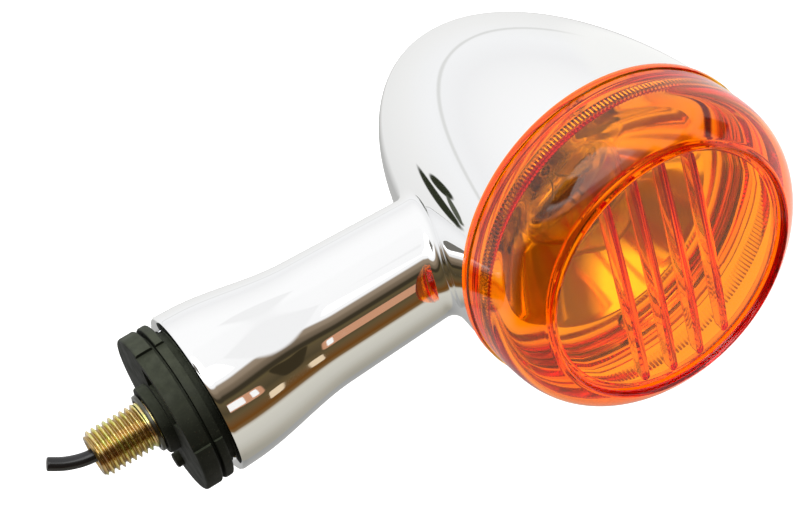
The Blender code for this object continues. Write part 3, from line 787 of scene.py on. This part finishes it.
def make_bulb(glass, brass, tungsten):
    neck, thickness, middle, radius = 6.6, 0.7, 7.5, 12.5
    widen = [(neck, -23.0), (neck, -11.8), (6.9, -9.4), (7.6, -7.2), (8.8, -4.4), (10.2, -1.4), (11.3, 1.4)]
    outer = widen + arc((0, middle), radius, -18, 90, 24)[:-1] + [(0, middle + radius)]
    inner = [(0, middle + radius - thickness)] + arc((0, middle), radius - thickness, 90, -18, 20)[1:]
    inner += [(r - thickness, h) for r, h in reversed(widen)]
    envelope = turned("bulb_envelope", outer + inner, on_lamp, 72)
    finish_piece(envelope, "bulb", glass, "bulb_glass", "bulb_glass")

    pinch = [(0, -22.0), (3.4, -22.0), (3.6, -21.6), (3.45, -17.0), (3.1, -13.0), (2.3, -10.2), (1.9, -8.6)]
    pinch += [(1.85, -6.8), (1.5, -6.1), (0, -6.0)]
    stem = turned("bulb_pinch", pinch, on_lamp, 48)
    finish_piece(stem, "bulb", glass, "bulb_glass", "bulb_stem")

    cap = [(7.1, -12.0), (7.4, -12.0), (7.5, -12.15), (7.5, -12.9), (7.35, -13.1), (7.35, -13.5)]
    cap += [(7.5, -13.7)]
    cap += [(7.5, -28.2), (7.3, -28.7), (6.1, -30.0), (5.8, -30.2), (4.7, -30.2), (4.6, -30.1), (4.6, -29.6)]
    cap += [(5.4, -29.4), (7.1, -27.9)]
    shell = turned("bulb_base", cap, on_lamp, 72)
    for side in (1, -1):
        def place(across, up, height, side=side):
            return on_lamp(side * height, across, up - 23.0)
        stub = [(0, 7.25), (1.0, 7.25), (1.0, 8.3), (0.8, 8.5), (0, 8.5)]
        combine(shell, turned("pin", stub, place, 24), "UNION")
    finish_piece(shell, "bulb", brass, "brass", "bulb_cap")

    reach = 3.2
    for name, side in (("left", -1), ("right", 1)):
        bends = ((1.0, -6.4), (1.05, -3.5), (1.3, 0.0), (2.2, 3.6), (3.2, 6.2), (reach + 0.6, FOCUS))
        route = [on_lamp(side * across, 0, forward) for across, forward in bends]
        support = swept(f"support_{name}", smooth_route(route, 6), 0.25, 12)
        finish_piece(support, "bulb", tungsten, "tungsten", f"filament_support_{name}")
    coil = []
    turns, per_turn, radius = 14, 16, 0.55
    for step in range(turns * per_turn + 1):
        angle = TAU * step / per_turn
        across = -reach + 2 * reach * step / (turns * per_turn)
        coil.append(on_lamp(across, radius * math.sin(angle), FOCUS + radius * math.cos(angle)))
    finish_piece(swept("filament_coil", coil, 0.1, 8), "bulb", tungsten, "tungsten", "filament")


# ---------------------------------------------------------------- foot


def make_damper(rubber):
    """Two flanges with a groove between, a plug in the stem's socket, a boss and a peg for the bracket."""
    outline = [(5.3, -2.2), (6.8, -2.2), (7.15, -2.1), (7.3, -1.8), (7.3, 0.0)]
    outline += arc((16.5, 0.6), 0.6, -90, 0, 6) + arc((16.6, 3.2), 0.5, 0, 90, 6)
    outline += [(15.7, 3.7), (15.4, 3.8), (15.4, 4.3), (15.7, 4.4)]
    outline += arc((16.6, 4.8), 0.4, -90, 0, 5) + arc((16.5, 5.8), 0.5, 0, 90, 5)
    outline += [(14.3, 6.3), (14.3, 11.4), (14.0, 11.7), (5.3, 11.7)]
    damper = turned("damper_pad", outline, on_stem_turned, 180)
    step_cut = ring_sector("cut", (16.4, 19.1), (-1, 7), (182, 262), on_stem_turned)
    combine(damper, step_cut, "DIFFERENCE")
    pocket = ring_sector("cut", (9.2, 14.6), (-1, 2.0), (186, 245), on_stem_turned)
    combine(damper, pocket, "DIFFERENCE")

    def place(across, up, height):
        return on_stem_turned(across + 12.4, up, height)

    stub = [(0, -1.4), (1.3, -1.4), (1.52, -1.3), (1.6, -1.1), (1.6, 1.0), (0, 1.0)]
    combine(damper, turned("peg", stub, place, 32), "UNION")
    finish_piece(damper, "housing", rubber, "rubber", "base_damper")


def on_stem_turned(across, up, height):
    """The stem's own axes in the CAD: across points down and up points to +Y."""
    return (height, up, -across)


def make_stud(zinc):
    """Hollow stud with an M10 x 1.25 helical thread, a chamfered tip and a thread run-out."""
    tip, end, shank, crest, depth, pitch = -15.3, 23.5, 4.9, 5.0, 0.77, 1.25
    steps, per_pitch = 96, 14
    heights = [tip + pitch / per_pitch * step for step in range(int(11.9 / pitch * per_pitch) + 1)]
    skin = Skin()
    rows = [[(3.0, tip + 0.3)] * steps, [(3.3, tip)] * steps]
    for height in heights:
        row = []
        for step in range(steps):
            phase = (height / pitch - step / steps) % 1.0
            flank = min(max((abs(phase - 0.5) - 0.07) / 0.33, 0.0), 1.0)
            radius = crest - depth * (flank * flank * (3 - 2 * flank) * 0.35 + flank * 0.65)
            radius = min(radius, 4.15 + (height - tip) * 0.75)
            fade = min(max((height + 4.6) / 1.2, 0.0), 1.0)
            row.append((radius + (shank - radius) * fade, height))
        rows.append(row)
    rows.append([(shank, -3.3)] * steps)
    rows.append([(shank, end - 0.3)] * steps)
    rows.append([(shank - 0.3, end)] * steps)
    rows.append([(3.0, end)] * steps)
    rings = []
    for row in rows:
        ring = []
        for step, (radius, height) in enumerate(row):
            turn = TAU * step / steps
            ring.append(on_stem(radius * math.cos(turn), radius * math.sin(turn), height))
        rings.append(skin.ring(ring))
    for low, high in zip(rings, rings[1:] + rings[:1]):
        skin.bridge(low, high)
    finish_piece(skin.make("stud_thread", 50), "housing", zinc, "yellow_zinc", "mounting_stud")


def make_collar(steel):
    outline = [(5.25, -3.3), (5.85, -3.3), (6.1, -3.2), (6.2, -3.0), (6.2, -2.6), (6.1, -2.5), (5.25, -2.5)]
    finish_piece(turned("collar_ring", outline, on_stem, 96), "housing", steel, "steel", "stud_collar")


# ---------------------------------------------------------------- lead


def smooth_route(points, samples):
    """Catmull-Rom curve through the points."""
    points = [Vector(point) for point in points]
    padded = [points[0] * 2 - points[1], *points, points[-1] * 2 - points[-2]]
    path = []
    for p0, p1, p2, p3 in zip(padded, padded[1:], padded[2:], padded[3:]):
        for step in range(samples):
            t = step / samples
            bend = (2 * p0 - 5 * p1 + 4 * p2 - p3) * t**2 + (3 * p1 - p0 - 3 * p2 + p3) * t**3
            path.append(0.5 * (2 * p1 + (p2 - p0) * t + bend))
    return [*path, points[-1]]


def swept(name, path, radius, sides, tip=None):
    """A round tube along a path. tip gives (radius, setback) rings that stand in for its first ring."""
    path = [Vector(point) for point in path]
    skin = Skin()
    rings = []
    normal = Vector((0, 0, 1))
    for number, point in enumerate(path):
        ahead = path[min(number + 1, len(path) - 1)] - path[max(number - 1, 0)]
        ahead.normalize()
        normal = (normal - ahead * normal.dot(ahead)).normalized()
        side = ahead.cross(normal)
        shapes = tip if tip and number == 0 else [(radius, 0.0)]
        for reach, back in shapes:
            rings.append(skin.ring(around(point + ahead * back, normal, side, reach, sides)))
    skin.faces.append(rings[0])
    skin.faces.append(rings[-1])
    for low, high in zip(rings, rings[1:]):
        skin.bridge(low, high)
    return skin.make(name, 50)


def around(point, normal, side, radius, count):
    loop = []
    for step in range(count):
        turn = TAU * step / count
        loop.append(point + normal * radius * math.cos(turn) + side * radius * math.sin(turn))
    return loop


def make_lead(pvc):
    """The lead from its cut end through the stud and stem to the lamp."""
    route = [(-23.8, 2.3, 2.5), (-20.5, 1.2, 1.0), (-16.5, 0.4, 0.1), (-11, 0, 0), (0, 0, 0), (24, 0, 0)]
    route += [(40, 0, -1.5), (56, 1, -1), (67, 4, 0), (72.5, 9, 0)]
    lead = swept("lead_jacket", smooth_route(route, 8), 1.4, 32, [(1.05, 0.0), (1.28, 0.06), (1.4, 0.28)])
    finish_piece(lead, "housing", pvc, "lead_pvc", "lead_cable")


def make_spring(spring_steel):
    """Contact spring, a coil of four turns running towards the insulator, drawn at one fixed length."""
    radius, wire, turns, per_turn = 2.1, 0.28, 4, 40
    start, end = -34.58, -38.32
    path = []
    for step in range(turns * per_turn + 1):
        angle = TAU * (step / per_turn + 0.25)
        height = start + (end - start) * step / (turns * per_turn)
        path.append(on_lamp(radius * math.cos(angle), radius * math.sin(angle), height))
    coil = swept("spring_coil", path, wire, 16)
    finish_piece(coil, "housing", spring_steel, "spring_steel", "contact_spring")
    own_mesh(coil)


# ---------------------------------------------------------------- materials


def make_chrome():
    """Bright plating with a barely visible orange peel and fine haze."""
    made, shader, use = new_material("chrome_plate", Base_Color=(0.90, 0.905, 0.91), Metallic=1.0)
    where = use.place()
    haze = use.noise(where, 90.0, 4.0)
    use.feed(shader.inputs["Roughness"], use.span(haze, 0.3, 0.75, 0.018, 0.05))
    tint = use.mix(use.noise(where, 35.0), (0.895, 0.90, 0.905), (0.915, 0.915, 0.92))
    use.feed(shader.inputs["Base Color"], tint)
    peel = use.noise(where, 260.0, 2.0)
    use.feed(shader.inputs["Normal"], use.bump(peel, 0.004, 0.25))
    return made


def make_amber():
    """Clear amber plastic: the colour comes from absorption, so it deepens with thickness."""
    made, shader, use = new_material(
        "amber_plastic", Roughness=0.02, IOR=1.49, Transmission_Weight=1.0)
    where = use.place()
    use.feed(shader.inputs["Roughness"], use.span(use.noise(where, 120.0), 0.3, 0.7, 0.0, 0.03))
    tint = use.mix(use.noise(where, 30.0), (1.0, 0.99, 0.97), (1.0, 0.98, 0.95))
    use.feed(shader.inputs["Base Color"], tint)
    colour = {"Color": (0.996, 0.84, 0.02, 1.0), "Density": 1550.0}
    volume = use.add("ShaderNodeVolumeAbsorption", colour).outputs[0]
    use.feed(made.node_tree.nodes["Material Output"].inputs["Volume"], volume)
    return made


def make_glass():
    made, shader, use = new_material("bulb_glass_clear", Roughness=0.0, IOR=1.5, Transmission_Weight=1.0)
    where = use.place()
    tint = use.mix(use.noise(where, 60.0), (0.97, 0.985, 0.98), (0.99, 0.99, 0.985))
    use.feed(shader.inputs["Base Color"], tint)
    return made


def make_metal(name, low, high, rough_low, rough_high, scale=400.0, bump=0.004):
    """A metal whose colour and roughness drift between two values, with fine surface marks."""
    made, shader, use = new_material(name, Metallic=1.0)
    where = use.place()
    use.feed(shader.inputs["Base Color"], use.mix(use.noise(where, scale * 0.4, 5.0), low, high))
    use.feed(shader.inputs["Roughness"], use.span(use.noise(where, scale), 0.3, 0.7, rough_low, rough_high))
    use.feed(shader.inputs["Normal"], use.bump(use.noise(where, scale * 4, 4.0), bump, 0.5))
    return made


def off_axis(use, where):
    """Distance from the stem's axis, in millimetres."""
    flat = use.vector("MULTIPLY", where, (0.0, 1000.0, 1000.0))
    return use.add("ShaderNodeVectorMath", {0: flat}, operation="LENGTH").outputs["Value"]


def make_zinc():
    """Yellow passivated zinc: gold with green and reddish drifts, and painted shade darkening the thread's
    root.
    """
    made, shader, use = new_material("yellow_passivate", Metallic=1.0)
    where = use.place()
    drift = use.noise(where, 330.0, 4.0, 0.6)
    stops = [(0.30, (0.62, 0.69, 0.25)), (0.42, (0.80, 0.74, 0.27)), (0.50, (0.86, 0.72, 0.33)),
             (0.60, (0.76, 0.52, 0.25)), (0.70, (0.66, 0.43, 0.33))]
    # Painted shade: nearer the axis than the crest, in the thread's root, the colour is mixed to a dark
    # brown.
    crest = use.smooth_step(off_axis(use, where), 4.25, 4.6)
    root_shaded = use.mix(crest, (0.42, 0.29, 0.12), use.ramp(drift, stops))
    use.feed(shader.inputs["Base Color"], root_shaded)
    use.feed(shader.inputs["Roughness"], use.span(use.noise(where, 700.0, 4.0), 0.3, 0.7, 0.14, 0.30))
    use.feed(shader.inputs["Normal"], use.bump(use.noise(where, 2500.0, 4.0), 0.01, 0.4))
    return made


def make_rubber(name, low, high, dust_and_top_light, rough_low, rough_high):
    """Moulded rubber with a faint bloom, pin-prick speckle of pale dust, a soft grain, and painted light that
    pales its upper faces towards the same colour.
    """
    made, shader, use = new_material(name, Specular_IOR_Level=0.3)
    where = use.place()
    bloom = use.mix(use.noise(where, 160.0, 5.0), low, high)
    speck = use.smooth_step(use.noise(where, 2600.0, 2.0), 0.62, 0.72)
    speckled = use.mix(use.math("MULTIPLY", speck, 0.5), bloom, dust_and_top_light)
    # Painted light: faces that point up are mixed towards the pale colour, as if lit from above; the noise
    # only breaks it up.
    facing = use.add("ShaderNodeNewGeometry").outputs["Normal"]
    upward = use.smooth_step(use.vector("DOT_PRODUCT", facing, (-0.1, -0.1, 1.0)), 0.35, 1.0)
    lit_top = use.math("MULTIPLY", upward, use.span(use.noise(where, 500.0, 5.0), 0.3, 0.7, 0.55, 1.0))
    use.feed(shader.inputs["Base Color"], use.mix(lit_top, speckled, dust_and_top_light))
    use.feed(shader.inputs["Roughness"], use.span(use.noise(where, 300.0), 0.3, 0.7, rough_low, rough_high))
    use.feed(shader.inputs["Normal"], use.bump(use.noise(where, 1800.0, 4.0), 0.02, 0.6))
    return made


def make_plastic(name, low, high, roughness):
    made, shader, use = new_material(name)
    where = use.place()
    use.feed(shader.inputs["Base Color"], use.mix(use.noise(where, 250.0, 4.0), low, high))
    rough = use.span(use.noise(where, 500.0), 0.3, 0.7, roughness * 0.8, roughness * 1.2)
    use.feed(shader.inputs["Roughness"], rough)
    use.feed(shader.inputs["Normal"], use.bump(use.noise(where, 900.0), 0.006, 0.5))
    return made


def dress_nodes(materials):
    """Gives each CAD node that stays its procedural material."""
    for node, material in materials.items():
        piece = frame["nodes"][node]
        for slot in piece.material_slots:
            slot.material = material


def main():
    make_studio()
    make_floor()
    make_camera()
    scene = bpy.context.scene
    scene.view_settings.view_transform = "Standard"
    scene.cycles.max_bounces = 24
    scene.cycles.glossy_bounces = 16
    scene.cycles.transmission_bounces = 20

    chrome = make_chrome()
    amber = make_amber()
    glass = make_glass()
    zinc = make_zinc()
    # The third colour is the pale dust of the speckle, and also the painted light on the rubber's upper
    # faces.
    rubber = make_rubber(
        "damper_rubber", (0.003, 0.005, 0.002), (0.008, 0.011, 0.005), (0.058, 0.066, 0.042), 0.6, 0.8)
    mirror = make_metal("vacuum_silver", (0.86, 0.84, 0.80), (0.92, 0.90, 0.86), 0.06, 0.12, 120.0)
    steel = make_metal("bright_steel", (0.56, 0.55, 0.52), (0.68, 0.67, 0.65), 0.18, 0.34)
    dark_steel = make_metal("blackened_steel", (0.07, 0.07, 0.06), (0.15, 0.15, 0.13), 0.2, 0.35)
    brass = make_metal("brass_strip", (0.70, 0.50, 0.22), (0.82, 0.64, 0.32), 0.18, 0.34)
    tungsten = make_metal("tungsten_wire", (0.30, 0.30, 0.31), (0.45, 0.45, 0.46), 0.3, 0.45, 900.0)
    spring_steel = make_metal("spring_wire", (0.42, 0.42, 0.42), (0.58, 0.58, 0.58), 0.2, 0.35)
    bakelite = make_plastic("brown_bakelite", (0.12, 0.05, 0.022), (0.19, 0.09, 0.045), 0.4)
    vitrite = make_plastic("black_vitrite", (0.012, 0.012, 0.014), (0.03, 0.03, 0.034), 0.16)
    pvc = make_plastic("black_pvc", (0.008, 0.008, 0.009), (0.018, 0.018, 0.02), 0.18)
    green = make_plastic("green_pvc", (0.015, 0.13, 0.035), (0.03, 0.20, 0.06), 0.3)
    silicone = make_plastic("pale_silicone", (0.62, 0.60, 0.56), (0.74, 0.72, 0.68), 0.4)
    solder = make_metal("solder_tin", (0.50, 0.50, 0.50), (0.66, 0.66, 0.66), 0.25, 0.45)

    make_housing(chrome)
    make_lens(amber)
    make_gasket(silicone)
    make_reflector(mirror)
    make_bulb(glass, brass, tungsten)
    make_damper(rubber)
    make_stud(zinc)
    make_collar(dark_steel)
    make_lead(pvc)
    make_spring(spring_steel)
    dress_nodes({
        "bulb_contact": solder, "bulb_insulator": vitrite, "bulb_socket": steel, "contact_plunger": brass,
        "earth_tab": brass, "earth_wire": pvc, "lead_grommet": rubber,
        "live_terminal": brass, "live_wire": green, "reflector_screw_lower": zinc,
        "reflector_screw_upper": zinc, "socket_insulator": bakelite, "stem_nut": zinc, "stem_washer": steel,
    })


main()
bpy.context.view_layer.update()
